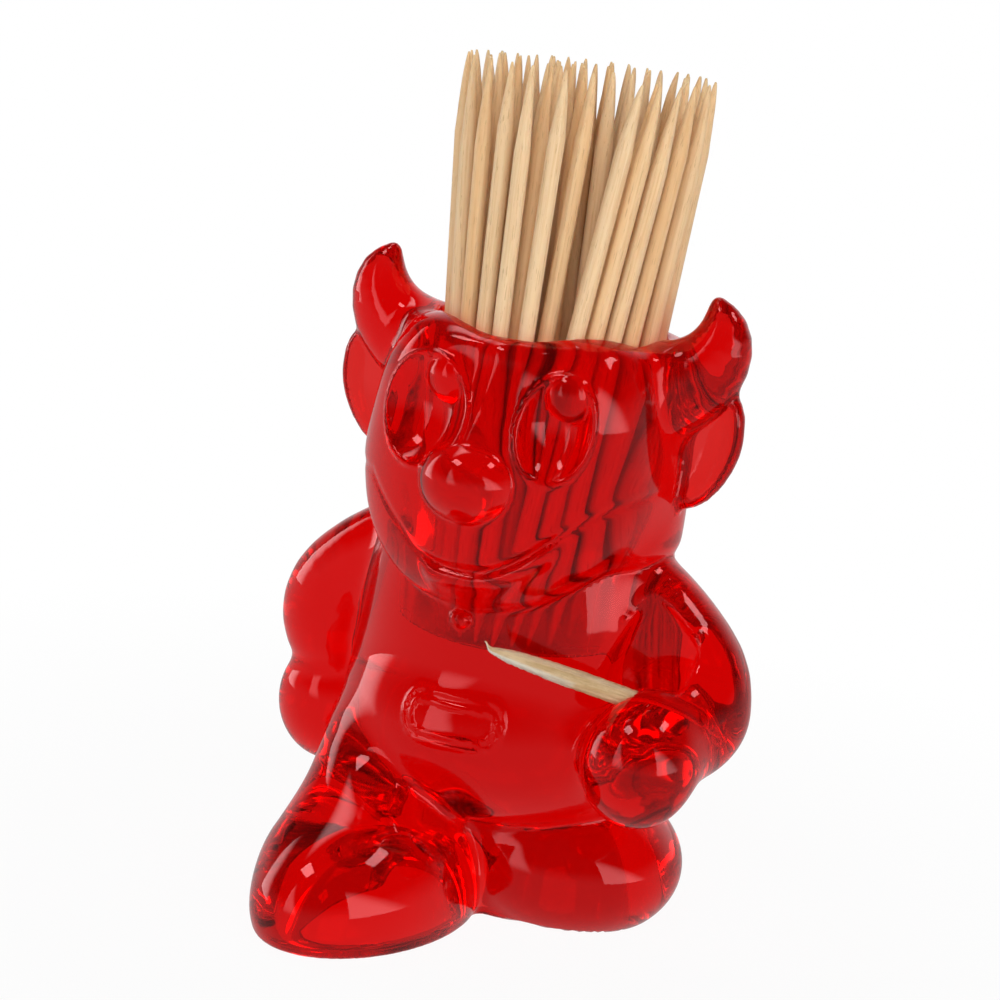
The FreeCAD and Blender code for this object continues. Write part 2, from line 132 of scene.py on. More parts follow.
def barrel(at, levels, wide, deep, along, low, high, low_edge, high_edge):
    """Distance to a stack of level ellipses, wide by deep and centred along Y, cut off at low and high."""
    x, y, z = at[:, 0], at[:, 1] - along, at[:, 2]
    half_x, half_y = section_at(z, levels, wide), section_at(z, levels, deep)
    level = np.hypot(x / half_x, y / half_y)
    growth = np.hypot(x / half_x ** 2, y / half_y ** 2)
    wall = level * (level - 1) / np.maximum(growth, 1e-6)
    return trim(trim(wall, high - z, high_edge), z - low, low_edge)


def limb(at, points, radii, count, ease):
    """A smooth limb: the points and radii are first eased along cubics, then chained in count short rods."""
    knots, fine = np.arange(len(points)), np.linspace(0, len(points) - 1, count + 1)
    path = np.stack([section_at(fine, knots, [point[n] for point in points]) for n in range(3)], 1)
    return chain(at, path, section_at(fine, knots, radii), ease)


def ridge(across, width):
    """A soft round-topped profile, one at the middle and gone about two widths away."""
    return np.exp(-(across / width) ** 2)


def step_up(across, width):
    """A soft step from zero to one at the middle, about two widths long."""
    return 0.5 + 0.5 * np.tanh(across / width)


def head(at, mirror):
    """The head: a cup with a face, brows, eyes, nose, smile, horns and ears. The brows, horns and ears are
    alike on both sides and read mirror, the points with x made positive."""
    x, y, z = at.T

    # a cup round the well, and in front of it the face with its chin, jaw line and brows
    cup = barrel(at, (40, 50, 60, 68), (17.6, 18.0, 17.1, 16.6), (14.2, 15.0, 15.4, 15.0), -0.4,
                 43, RIM_HEIGHT, 3.0, 2.4)
    face = egg(at, (-0.6, -5.2, 52.1), (17.6, 14.4, 14.6), turned("x", 6))
    face = weld(face, egg(at, (-1.0, -8.4, 45.5), (14.5, 10.0, 11.0)), 3)
    jaw = section_at(x, (-18, -13, -9.6, -3.8, 1.5, 6.4, 11.5, 15.8, 19),
                     (49.0, 42.3, 39.0, 37.0, 36.7, 38.4, 42.0, 45.8, 48.0))
    face = trim(face, (z - jaw) * 0.85, 1.3)
    face = weld(face, egg(mirror, (7.0, -8.4, 60.8), (8.5, 8.0, 8.9)), 4.5)
    made = weld(cup, trim(face, 69.6 - z, 2.5), 1.2)

    # the bridge, open bowls with raised pupils for eyes, and the nose
    bridge = chain(at, [(0, -14.4, 65.0), (-0.2, -16.4, 59.5), (-0.8, -17.2, 55.6)], [1.0, 1.6, 3.0], 1)
    made = weld(made, bridge, 2.0)
    for centre, radii, angle in EYE_BOWLS:
        bowl = egg(at, centre, radii, turned("z", angle))
        made = trim(made - BOWL_RIM * ridge(bowl - 0.3, 0.32), bowl, 0.2)
    for centre, radii, angle in PUPILS:
        made = weld(made, egg(at, centre, radii, turned("z", angle)), 0.3)
    made = weld(made, egg(at, NOSE, (5.6, 5.3, 4.7)), 0.4)

    # the smile is a fine groove over a soft lip, fading out over the cheeks
    smile = section_at(x, (-14, -9, -6, -4, -1, 1.5, 5, 8, 13, 17),
                       (50.5, 46.0, 43.4, 42.6, 42.3, 42.5, 44.2, 46.6, 50.6, 52.6))
    across = (z - smile) * 0.9
    strong = step_up(x + 5.4, 0.6) * step_up(9.0 - x, 0.8)
    faint = 0.2 + 0.8 * strong
    made = made + (y < -4) * (faint * 0.65 * ridge(across, 0.5) - 0.5 * strong * ridge(across + 1.5, 1.1))

    # the horns are curved round tapers, a little flatter from front to back than they are wide
    horn_at = np.column_stack((mirror[:, 0], (y + 2.2) * 1.15, z))
    horn = limb(horn_at, [(11.0, 0, 62.0), (15.5, 0, 63.2), (18.7, 0, 65.6), (20.4, 0, 68.4),
                          (20.6, 0, 71.0), (19.6, 0, 73.5)], [5.0, 4.9, 4.3, 3.4, 2.3, 0.8], 11, 0.8)
    made = weld(made, horn / 1.05, 2.2)

    # the ears are flat lobes with a dish cut in front
    lobe = [(20.4, 0, 61.1), (20.2, 0, 57.5), (19.1, 0, 53.9), (17.3, 0, 51.5)]
    flat = y + 1.6 + 0.14 * (mirror[:, 0] - 20)
    ear = limb(np.column_stack((mirror[:, 0], flat * 1.8, z)), lobe, [3.8, 3.6, 2.8, 1.6], 7, 1.2)
    dish = limb(np.column_stack((mirror[:, 0], (flat + 2.5) * 1.3, z)), lobe, [3.2, 3.0, 2.2, 1.0], 7, 1.2)
    return weld(made, trim(ear / 1.4, dish / 1.15, 0.4), 0.8)


def trunk(at):
    """The trunk with its belly and badge, the striding left leg and the right foot."""
    x, y, z = at.T
    made = barrel(at, (12, 18, 24, 31, 38, 48), (16.6, 18.8, 19.6, 18.9, 18.0, 15.2),
                  (13.4, 15.2, 15.9, 15.6, 14.8, 13.6), 0.4, 13, 48, 3.0, 1.0)
    made = weld(made, egg(at, (-1.0, -4.8, 21.0), (17.2, 12.9, 10.6)), 2.5)

    # a bare badge, barely raised, with a double line round it: it leans back with the belly
    along, back, height = (part - place for part, place in zip((x, y, z), BADGE_PLACE))
    across = height * 0.94 - back * 0.34
    badge = np.hypot(np.maximum(np.abs(along) - BADGE_HALF, 0), across) - BADGE_ROUND
    lines = ridge(badge, 0.27) + ridge(badge + 0.9, 0.22)
    made = made - (y < -10) * (0.06 * step_up(-badge, 0.25) + 0.22 * lines)

    # the left leg strides into a long foot; the right foot is broad, and the seat behind it meets the table
    leg = rod(at, (-10.2, -7.7, 16.0), (-11.3, -18.0, 6.0), 8.9, 7.1)
    leg = weld(leg, egg(at, (-7.7, -17.7, 3.3), (10.7, 16.4, 10.4), turned("z", -14.8)), 6)
    foot = egg(at, (8.8, 0.6, 6.0), (14.2, 13.0, 9.6))
    seat = barrel(at, (0, 8, 16), (17.8, 18.2, 18.2), (12.6, 13.0, 13.4), 2.4, 0, 18, 0.5, 1.0)
    foot = weld(foot, seat, 1.5)
    return weld(weld(made, foot, 1.0), leg, 1.6)


def arms(at):
    """Both arms, akimbo on the left and bent forward to a gripping fist on the right, with thin webs."""
    left = limb(at, [(-13.4, 1, 40.7), (-19.3, 1.2, 36.9), (-23.7, 1.8, 32.3), (-24.8, 2.4, 28.0),
                     (-24.0, 3, 23.5)], [4.4, 4.8, 5.2, 5.6, 4.9], 9, 1.5)
    left = weld(left, egg(at, (-23.9, 3.2, 16.9), (6.8, 6.4, 7.6)), 1.6)
    left = weld(left, plate(at, (-20.2, 2.5, 28.1), (4.0, 1.2, 8.8), turned("y", -4), 0.9), 1.2)
    right = limb(at, [(13.4, -0.8, 40.9), (19.0, -1.7, 36.9), (23.1, -2.7, 32.3), (24.4, -4.2, 28.2)],
                 [4.4, 4.6, 5.0, 5.1], 8, 1.5)
    right = weld(right, egg(at, (23.1, -6.8, 26.6), (5.3, 8.6, 6.5), turned("z", -20)), 2.5)
    right = weld(right, plate(at, (19.0, -2.8, 31.3), (3.8, 3.8, 6.0), turned("y", 4), 0.6), 0.6)
    return weld(left, right, 0.5)


def crook(at):
    """The recess between the trunk and the right arm: what lies in front of a web that runs back towards
    the arm, inside an outline whose corners, in X and Z, run clockwise, and above a floor that rises
    towards the front."""
    x, y, z = at.T
    made = y + 5.9 - 0.2 * (x - 16.0)
    corners = [(17.6, 41.2), (18.6, 40.8), (23.8, 36.2), (24.2, 33.6), (21.6, 27.0), (14.0, 27.0),
               (14.6, 34.0)]
    for (x0, z0), (x1, z1) in zip(corners, corners[1:] + corners[:1]):
        inside = ((x - x0) * (z1 - z0) - (z - z0) * (x1 - x0)) / math.hypot(x1 - x0, z1 - z0)
        made = -weld(-made, inside, 1.2)
    return -weld(-made, z + 0.5 * y - 26.0, 0.8)


def moulding(at):
    """The whole figure at points in millimetres about the well's axis: below zero is plastic. What stands
    out is welded first, then the table's plane, the well, the hollow underside and the hole are cut."""
    x, y, z = at.T
    mirror = np.column_stack((np.abs(x), y, z))
    made = trim(weld(trunk(at), arms(at), 2.2), crook(at), 0.8)
    made = weld(made, egg(at, FIST, (6.3, 5.8, 6.8)), 4.5)
    made = weld(made, head(at, mirror), 0.5)
    made = weld(made, egg(at, GATE_NUB, (1.3, 1.1, 1.0)), 0.4)
    made = trim(made, z, 0.5)

    round_axis = np.hypot(x, y)
    well = np.maximum(round_axis - WELL_FLOOR_RADIUS - (z - WELL_FLOOR) * WELL_FLARE, WELL_FLOOR - z)
    made = trim(made, well, 0.5)

    # cored out under the belly, in the right foot and in the left one, and bored through into the fist
    hollow = weld(egg(at, (-3.5, -0.5, -2), (12.0, 9.0, 18.5)),
                  egg(at, (9.0, -0.3, -1), (9.6, 9.0, 12.2)), 1.5)
    hollow = weld(hollow, egg(at, (-8.4, -16.6, -1.0), (5.9, 10.8, 7.8), turned("z", -14.8)), 1.5)
    made = trim(made, hollow, 1.2)
    tip, end = np.float32(GRIP_TIP), np.float32(GRIP_END)
    way = (end - tip) / np.linalg.norm(end - tip)
    hole = rod(at, tip + way * HOLE_FROM, tip + way * HOLE_TO, HOLE_RADIUS, HOLE_RADIUS)
    return trim(made, hole, 0.1)


def slope(field, at, step=0.12):
    """How the field changes along each axis, from its values a step to either side."""
    out = np.empty_like(at)
    for axis in range(3):
        shift = np.zeros(3, np.float32)
        shift[axis] = step
        out[:, axis] = (field(at + shift) - field(at - shift)) / (2 * step)
    return out


def field_on_grid(field, axes, stride=3, reach=2.3):
    """The field at every grid point, worked out in full only where a coarse grid says the skin is near."""
    coarse = [np.append(axis[::stride], axis[-1]) for axis in axes]
    rough = field(np.stack(np.meshgrid(*coarse, indexing="ij"), -1).reshape(-1, 3))
    rough = rough.reshape([len(axis) for axis in coarse])
    for number, axis in enumerate(axes):
        nearest = np.clip((np.arange(len(axis)) + stride // 2) // stride, 0, len(coarse[number]) - 1)
        rough = np.take(rough, nearest, axis=number)
    near = np.abs(rough) < reach
    i, j, k = np.nonzero(near)
    rough[near] = field(np.column_stack((axes[0][i], axes[1][j], axes[2][k])))
    return rough


def skin(values, axes):
    """A closed mesh of four-sided faces round the field's negative part: one vertex for each grid cell
    that the skin passes, at the mean of its crossings of the cell's edges, and one face for each grid edge
    that it crosses."""
    inside = values < 0
    shape = values.shape
    cells = sum(inside[i:shape[0] - 1 + i, j:shape[1] - 1 + j, k:shape[2] - 1 + k].astype(np.int8)
                for i in (0, 1) for j in (0, 1) for k in (0, 1))
    active = (cells > 0) & (cells < 8)
    index = np.full(active.shape, -1, np.int64)
    index[active] = np.arange(active.sum())
    cell = np.nonzero(active)
    points, crossings = np.zeros((len(cell[0]), 3)), np.zeros((len(cell[0]), 1))
    faces = []
    for axis in range(3):
        second, third = (axis + 1) % 3, (axis + 2) % 3
        for b in (0, 1):
            for c in (0, 1):
                low = list(cell)
                low[second], low[third] = low[second] + b, low[third] + c
                high = list(low)
                high[axis] = high[axis] + 1
                first, last = values[tuple(low)], values[tuple(high)]
                crossed = (first < 0) != (last < 0)
                share = np.where(crossed, first / np.where(crossed, first - last, 1), 0)
                spot = np.column_stack([axes[n][low[n]] for n in range(3)])
                spot[:, axis] += share * (axes[axis][high[axis]] - axes[axis][low[axis]])
                points += np.where(crossed[:, None], spot, 0)
                crossings += crossed[:, None]
        start = tuple(slice(0, -1) if n == axis else slice(None) for n in range(3))
        stop = tuple(slice(1, None) if n == axis else slice(None) for n in range(3))
        edge = np.array(np.nonzero((values[start] < 0) != (values[stop] < 0)))
        ring = []
        for b, c in ((1, 1), (0, 1), (0, 0), (1, 0)):
            corner = edge.copy()
            corner[second] -= b
            corner[third] -= c
            ring.append(index[tuple(corner)])
        face = np.stack(ring, 1)
        inward = values[tuple(edge)] > 0
        face[inward] = face[inward][:, ::-1]
        faces.append(face)
    return points / crossings, np.concatenate(faces)


def spaced(*runs):
    """Grid levels made of runs, each from a start to an end at about its own spacing."""
    levels = [np.linspace(start, end, max(2, round((end - start) / gap) + 1))[:-1]
              for start, end, gap in runs]
    return np.append(np.concatenate(levels), runs[-1][1]).astype(np.float32)


def smooth_mesh(name, points, faces, normals):
    """A Blender mesh of four-sided faces with the given outward normals, millimetres made metres."""
    mesh = bpy.data.meshes.new(name)
    mesh.vertices.add(len(points))
    mesh.vertices.foreach_set("co", (points / 1000).astype(np.float32).ravel())
    mesh.loops.add(faces.size)
    mesh.loops.foreach_set("vertex_index", faces.astype(np.int32).ravel())
    mesh.polygons.add(len(faces))
    mesh.polygons.foreach_set("loop_start", np.arange(0, faces.size, 4, dtype=np.int32))
    mesh.update(calc_edges=True)
    mesh.polygons.foreach_set("use_smooth", np.ones(len(faces), bool))
    mesh.normals_split_custom_set_from_vertices(normals)
    piece = bpy.data.objects.new(name, mesh)
    bpy.context.scene.collection.objects.link(piece)
    return piece


# the grid is finest across the face, the badge and the well's floor
levels_x = spaced((-32, -14, 0.60), (-14, 14, 0.46), (14, 31.2, 0.60))
levels_y = spaced((-36, -22, 0.62), (-22, -10, 0.42), (-10, 18, 0.68))
levels_z = spaced((-1, 20, 0.64), (20, 36, 0.48), (36, 69, 0.46), (69, 77, 0.58))
skin_axes = (levels_x, levels_y, levels_z)
points, faces = skin(field_on_grid(moulding, skin_axes), skin_axes)
points = points.astype(np.float32)
for step in range(2):       # draw each vertex onto the skin along the field's slope
    steep = slope(moulding, points)
    move = moulding(points)[:, None] * steep / np.maximum((steep ** 2).sum(1, keepdims=True), 0.05)
    points = points - np.clip(move, -0.4, 0.4)
steep = slope(moulding, points)
steep /= np.maximum(np.linalg.norm(steep, axis=1, keepdims=True), 1e-6)
figure = smooth_mesh("moulded_figure", points + np.float32(WELL_AXIS), faces, steep)


class Wire:
    """An output in a shader tree, for use in sums: each operator adds the Math node it stands for."""

    def __init__(self, tree, output=None):
        self.tree, self.output = tree, output

    def node(self, kind, settings, inputs, out=0):
        """One node: its settings are set first, then each of its inputs gets a value or a link."""
        made = self.tree.nodes.new("ShaderNode" + kind)
        for name, value in settings.items():
            if name == "stops":
                ramp = made.color_ramp.elements
                while len(ramp) < len(value):
                    ramp.new(0.5)
                for stop, (position, colour) in zip(ramp, value):
                    stop.position, stop.color = position, (*colour, 1.0)
            else:
                setattr(made, name, value)
        for name, value in inputs.items():
            if isinstance(value, Wire):
                self.tree.links.new(value.output, made.inputs[name])
            else:
                made.inputs[name].default_value = value
        return Wire(self.tree, made.outputs[out] if len(made.outputs) else None)

    def also(self, name):
        """Another output of the same node, by its name."""
        return Wire(self.tree, self.output.node.outputs[name])

    def stored(self, label, output="Fac"):
        """What a mesh stores at its points under a label: Fac for a number, Vector for a place."""
        return self.node("Attribute", {"attribute_name": label}, {}).also(output)

    def math(self, operation, other):
        """One Math node of this value and another."""
        return self.node("Math", {"operation": operation}, {0: self, 1: other})

    def __add__(self, other):
        return self.math("ADD", other)

    def __sub__(self, other):
        return self.math("SUBTRACT", other)

    def __rsub__(self, other):
        return self.node("Math", {"operation": "SUBTRACT"}, {0: other, 1: self})

    def __mul__(self, other):
        return self.math("MULTIPLY", other)

    def __gt__(self, other):
        return self.math("GREATER_THAN", other)

    def __lt__(self, other):
        return self.math("LESS_THAN", other)

    __radd__, __rmul__ = __add__, __mul__

    def between(self, start, end, low=0.0, high=1.0, kind="LINEAR"):
        """This value carried from the span start to end onto low to high, and held at both ends."""
        return self.node("MapRange", {"interpolation_type": kind},
                         {0: self, 1: start, 2: end, 3: low, 4: high})

    def blend(self, first, second):
        """The colour between first and second that this share picks."""
        return self.node("Mix", {"data_type": "RGBA"}, {0: self, 6: first, 7: second}, 2)

    def noise(self, at, scale, detail=2.0, roughness=0.5):
        """Cloudy noise from about zero to one, read at a vector, with about scale clouds to a metre."""
        return self.node("TexNoise", {}, {"Vector": at, "Scale": scale, "Detail": detail,
                                          "Roughness": roughness})

    def scaled(self, factors):
        """This vector with each part multiplied by its own factor."""
        return self.node("VectorMath", {"operation": "MULTIPLY"}, {0: self, 1: factors})

    def length(self):
        """How long this vector is."""
        return self.node("VectorMath", {"operation": "LENGTH"}, {0: self}).also("Value")


def bare_tree(owner):
    """A Wire that adds nodes to the emptied shader tree of a material, lamp or world."""
    owner.use_nodes = True
    owner.node_tree.nodes.clear()
    return Wire(owner.node_tree)


# Clear red plastic, deeper red the thicker it is. Its polish is nearly perfect, with a faint moulded wave
# and the fine scratches of use, and lamps reach what stands inside it.
plastic = bpy.data.materials.new("clear_red_plastic")
wire = bare_tree(plastic)
place = wire.node("TexCoord", {}, {}).also("Object")
haze = wire.noise(place, 260.0, 3.0)
scratch_field = wire.noise(place.scaled((1.0, 0.35, 0.12)), 5200.0, 1.0)
scratches = (scratch_field > 0.735) * (wire.noise(place, 420.0) > 0.55)

# the well's wall is duller than the outside, most of all down by its floor, where the sticks' ends rub it
from_foot = wire.node("VectorMath", {"operation": "SUBTRACT"},
                      {0: place, 1: tuple(part / 1000 for part in WELL_AXIS)})
height = wire.node("SeparateXYZ", {}, {0: from_foot}).also("Z")
low = height.between((WELL_FLOOR + 10) / 1000, (WELL_FLOOR + 1) / 1000)
in_well = (from_foot.scaled((1.0, 1.0, 0.0)).length() < 0.0143) * (height > (WELL_FLOOR - 0.8) / 1000)
scuffed = (0.04 + 0.20 * low) * in_well
roughness = 0.012 + 0.035 * haze + 0.10 * scratches + scuffed
wave = wire.noise(place, 95.0, 1.0)
relief = wire.node("Bump", {}, {"Strength": 0.12, "Distance": 0.0006, "Height": wave - 0.02 * scratches})
skin_shader = wire.node("BsdfPrincipled", {}, {
    "Base Color": (0.69, 0.09, 0.08, 1.0), "Roughness": roughness, "IOR": 1.48,
    "Specular Tint": (1.0, 0.45, 0.46, 1.0), "Transmission Weight": 1.0, "Normal": relief})
lamps_pass = wire.node("BsdfTransparent", {}, {"Color": (0.95, 0.50, 0.44, 1.0)})
shadow_ray = wire.node("LightPath", {}, {}).also("Is Shadow Ray")
surface = wire.node("MixShader", {}, {0: shadow_ray, 1: skin_shader, 2: lamps_pass})
depth = wire.node("VolumeAbsorption", {}, {"Color": (0.990, 0.0, 0.0, 1.0), "Density": 700.0})
wire.node("OutputMaterial", {}, {"Surface": surface, "Volume": depth})
figure.data.materials.append(plastic)
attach(figure, "figure")
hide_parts("devil_figure")

# ------------------------------------------------------------------ the toothpicks in the well
# Round birch toothpicks, turned from split wood and ground to a point at both ends. They stand loose in
# the well and lean apart at the top. Each is drawn as a slightly uneven profile carried up its own axis.
PICK_LENGTH, PICK_TAPER, PICK_RADIUS, PICK_TIP = 65.0, 9.2, 1.0, 0.10
TAPER_SPREAD, BLUNTNESS = (0.72, 1.08), (0.58, 0.76)    # how much the tapers differ in length and in curve
FRAY = 0.14                                             # how far the very tip strays from the axis
AROUND, TAPER_RINGS, SHAFT_RINGS, FACETS = 18, 11, 8, 6
chance = np.random.default_rng(7)


def feet_of(node):
    """The sticks' bottom points in a CAD node, in millimetres: the middle of each cluster of its lowest
    vertices."""
    mesh = frame["nodes"][node].data
    spots = np.empty(len(mesh.vertices) * 3, np.float32)
    mesh.vertices.foreach_get("co", spots)
    spots = spots.reshape(-1, 3) * 1000
    spots = spots[spots[:, 2] < spots[:, 2].min() + 0.12]
    feet = []
    while len(spots):
        mine = np.linalg.norm(spots - spots[0], axis=1) < 0.8
        feet.append((spots[mine].min(0) + spots[mine].max(0)) / 2)
        spots = spots[~mine]
    return feet


def stick_faces(rings, around):
    """Faces of a closed stick: four-sided ones from ring to ring, and a fan at each end to the two cap
    points that come after all the rings."""
    here = np.arange(around)
    there, rows = (here + 1) % around, np.arange(rings - 1)[:, None] * around
    sides = np.stack((rows + here, rows + there, rows + around + there, rows + around + here), -1)
    last, cap = (rings - 1) * around, rings * around
    foot_fan = np.column_stack((np.full(around, cap), there, here))
    top_fan = np.column_stack((np.full(around, cap + 1), last + here, last + there))
    return sides.reshape(-1, 4).tolist() + foot_fan.tolist() + top_fan.tolist()


def toothpick(foot, way):
    """Points, faces, grain places, shade and nearness to a tip of one toothpick: rings round an axis, whose
    radius grows from each blunt tip as a power of the share of the taper that is passed, with six worn
    flats, a little unevenness and a frayed top."""
    way = way / np.linalg.norm(way)
    side = np.cross(way, (0.0, 1.0, 0.0))
    side /= np.linalg.norm(side)
    other = np.cross(way, side)
    top_taper, foot_taper = PICK_TAPER * chance.uniform(*TAPER_SPREAD, 2)
    ends = np.sin(np.linspace(0, np.pi / 2, TAPER_RINGS)) ** 1.3
    middle = np.linspace(0, 1, SHAFT_RINGS + 2)[1:-1]
    height = np.concatenate((foot_taper * (1 - ends[::-1]), foot_taper + middle * (
        PICK_LENGTH - top_taper - foot_taper), PICK_LENGTH - top_taper * (1 - ends)))
    from_end = np.minimum(height / foot_taper, (PICK_LENGTH - height) / top_taper).clip(0, 1)
    radius = PICK_TIP + (PICK_RADIUS - PICK_TIP) * from_end ** chance.uniform(*BLUNTNESS)
    turn = np.linspace(0, 2 * np.pi, AROUND, endpoint=False)
    facet = np.mod(turn + chance.uniform(0, 2 * np.pi), 2 * np.pi / FACETS) - np.pi / FACETS
    flat = (1 - 0.75 * (1 - np.cos(np.pi / FACETS) / np.cos(facet))) * (1 - 0.02 * chance.random(AROUND))
    worn = 1 - 0.05 * chance.random((len(height), 1)) * (from_end[:, None] < 0.98)
    ring = radius[:, None] * flat * worn
    frayed = (1 - from_end[:, None]) ** 4 * (height[:, None] > PICK_LENGTH / 2)
    flat_x = ring * np.cos(turn) + frayed * chance.normal(0, FRAY)
    flat_y = ring * np.sin(turn) + frayed * chance.normal(0, FRAY)
    solid = foot + height[:, None, None] * way + flat_x[..., None] * side + flat_y[..., None] * other
    caps = np.array([foot - way * 0.05, foot + way * PICK_LENGTH])
    offset = chance.uniform(-0.2, 0.2, 3) * (1, 1, 5)
    grain = np.stack((flat_x, flat_y, np.broadcast_to(height[:, None], flat_x.shape)), -1) / 1000 + offset
    grain = np.concatenate((grain.reshape(-1, 3), np.stack((grain[0].mean(0), grain[-1].mean(0)))))
    shade = np.full(len(grain), chance.random())
    tip = np.concatenate((np.repeat(1 - from_end, AROUND), (1, 1)))
    points = np.concatenate((solid.reshape(-1, 3), caps))
    return points, stick_faces(len(height), AROUND), grain, shade, tip


def wooden_piece(name, sticks):
    """One mesh of several sticks, with the grain's place, the stick's own shade and its nearness to a point
    kept for the material."""
    mesh = bpy.data.meshes.new(name)
    points, faces, start = [], [], 0
    for stick in sticks:
        points.append(stick[0])
        faces += [[corner + start for corner in face] for face in stick[1]]
        start += len(stick[0])
    mesh.from_pydata((np.concatenate(points) / 1000).tolist(), [], faces)
    mesh.update()
    mesh.polygons.foreach_set("use_smooth", np.ones(len(faces), bool))
    for label, kind, key, part in (("grain", "FLOAT_VECTOR", "vector", 2), ("shade", "FLOAT", "value", 3),
                                   ("tip", "FLOAT", "value", 4)):
        values = np.concatenate([stick[part] for stick in sticks]).astype(np.float32)
        mesh.attributes.new(label, kind, "POINT").data.foreach_set(key, values.ravel())
    piece = bpy.data.objects.new(name, mesh)
    bpy.context.scene.collection.objects.link(piece)
    return piece


# Bare birch: pale tan with long straight fibres, a few darker streaks, short pores, and a rough, slightly
# darker end where the point is ground across the grain.
birch = bpy.data.materials.new("bare_birch")
wire = bare_tree(birch)
grain, shade, tip = wire.stored("grain", "Vector"), wire.stored("shade"), wire.stored("tip")
fibres = wire.noise(grain.scaled((4200.0, 4200.0, 95.0)), 1.0, 4.0, 0.62)
bands = wire.noise(grain.scaled((900.0, 900.0, 16.0)), 1.0, 2.0)
pores = wire.noise(grain.scaled((9000.0, 9000.0, 420.0)), 1.0, 1.0) > 0.68
tone = bands.node("ValToRGB", {"stops": [(0.28, (0.78, 0.48, 0.23)), (0.45, (0.83, 0.565, 0.31)),
                                        (0.75, (0.84, 0.62, 0.375))]}, {0: bands * 0.6 + shade * 0.4})
streaks = fibres.between(0.48, 0.72)
tone = (streaks * 0.60).blend(tone, (0.66, 0.395, 0.18, 1.0))
tone = (pores * 0.50).blend(tone, (0.46, 0.26, 0.11, 1.0))
tone = (tip * tip * 0.20).blend(tone, (0.66, 0.42, 0.22, 1.0))
relief = wire.node("Bump", {}, {"Strength": 0.55, "Distance": 0.00012,
                               "Height": fibres + bands * 0.5 - pores * 0.35})
wood = wire.node("BsdfPrincipled", {}, {"Base Color": tone, "Roughness": 0.52 + 0.22 * fibres,
                                       "IOR": 1.45, "Subsurface Weight": 0.25,
                                       "Subsurface Radius": (1.0, 0.55, 0.3), "Subsurface Scale": 0.0012,
                                       "Normal": relief})
wire.node("OutputMaterial", {}, {"Surface": wood})

for joint in frame["joints"]:
    body, way = joint["child"], np.array(joint["axis"], float)
    if body == "held_toothpick":
        continue
    sticks = [toothpick(foot, way) for foot in feet_of(body)]
    piece = wooden_piece(body + "_birch", sticks)
    piece.data.materials.append(birch)
    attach(piece, body)
    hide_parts(body)

# ------------------------------------------------------------------ the short pick in the fist
# A broken toothpick pushed into the hole in the fist, whittled from below to a thin point whose last
# splinter curls up. The cut face is paler than the skin of the stick.
HELD_LENGTH, HELD_RADIUS, WHITTLED, CURL = 25.0, 1.0, 11.0, 0.75
tip_point = np.array(GRIP_TIP) + WELL_AXIS
way = np.array(GRIP_END) - np.array(GRIP_TIP)
way /= np.linalg.norm(way)
level = np.cross(way, (0, 0, 1.0))
level /= np.linalg.norm(level)
above = np.cross(level, way)
along = np.concatenate((np.linspace(0, 1, 40) ** 1.5 * 12, np.linspace(12, HELD_LENGTH, 34)[1:]))
around = np.linspace(0, 2 * np.pi, 28, endpoint=False)
over = HELD_RADIUS * section_at(along, (0, 1, 3, 6, 25), (0.10, 0.42, 0.80, 1.0, 1.0))
under = HELD_RADIUS * section_at(along, (0, 1, 3, 6, WHITTLED, 25), (0.02, 0.24, 0.58, 0.80, 1.0, 1.0))
wide = HELD_RADIUS * section_at(along, (0, 1, 3, 6, 25), (0.10, 0.36, 0.76, 1.0, 1.0))
middle, half = (over - under) / 2 + CURL * ridge(along, 0.55), (over + under) / 2
cut_face = (np.sin(around) < -0.05)[None] * (1 - np.clip(along / WHITTLED, 0, 1))[:, None] ** 0.25
fuzz = 1 + (0.07 + 0.22 * cut_face) * (chance.random((len(along), len(around))) - 0.5)
across = (wide[:, None] * np.cos(around)) * fuzz
upward = (half[:, None] * np.sin(around)) * fuzz + middle[:, None]
solid = (tip_point + along[:, None, None] * way + across[..., None] * level + upward[..., None] * above)
ends = np.array([solid[0].mean(0), solid[-1].mean(0)])
grain = np.stack((across, upward, np.broadcast_to(along[:, None], across.shape)), -1).reshape(-1, 3) / 1000
grain = np.concatenate((grain, grain[[0, -1]]))
cut_face = np.concatenate((cut_face.ravel(), (1, 0)))
held = wooden_piece("held_toothpick_birch", [(
    np.concatenate((solid.reshape(-1, 3), ends)), stick_faces(len(along), len(around)), grain,
    np.full(len(grain), 0.75), cut_face)])

whittled = bpy.data.materials.new("whittled_birch")
wire = bare_tree(whittled)
grain, cut_share = wire.stored("grain", "Vector"), wire.stored("tip")
fibres = wire.noise(grain.scaled((3000.0, 3000.0, 420.0)), 1.0, 5.0, 0.75)
bands = wire.noise(grain.scaled((1400.0, 1400.0, 120.0)), 1.0, 3.0)
tone = bands.node("ValToRGB", {"stops": [(0.30, (0.66, 0.44, 0.20)), (0.50, (0.86, 0.65, 0.37)),
                                        (0.72, (0.94, 0.78, 0.53))]}, {0: bands})
streaks = fibres.between(0.45, 0.72)
tone = (streaks * 0.55).blend(tone, (0.42, 0.25, 0.10, 1.0))
tone = (cut_share * (1 - 0.35 * streaks)).blend(tone, (0.93, 0.88, 0.76, 1.0))
relief = wire.node("Bump", {}, {"Strength": 1.0, "Distance": 0.0004, "Height": fibres})
wood = wire.node("BsdfPrincipled", {}, {"Base Color": tone, "Roughness": 0.62 + 0.2 * fibres,
                                       "IOR": 1.45, "Normal": relief})
wire.node("OutputMaterial", {}, {"Surface": wood})
held.data.materials.append(whittled)
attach(held, "held_toothpick")
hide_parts("held_toothpick")

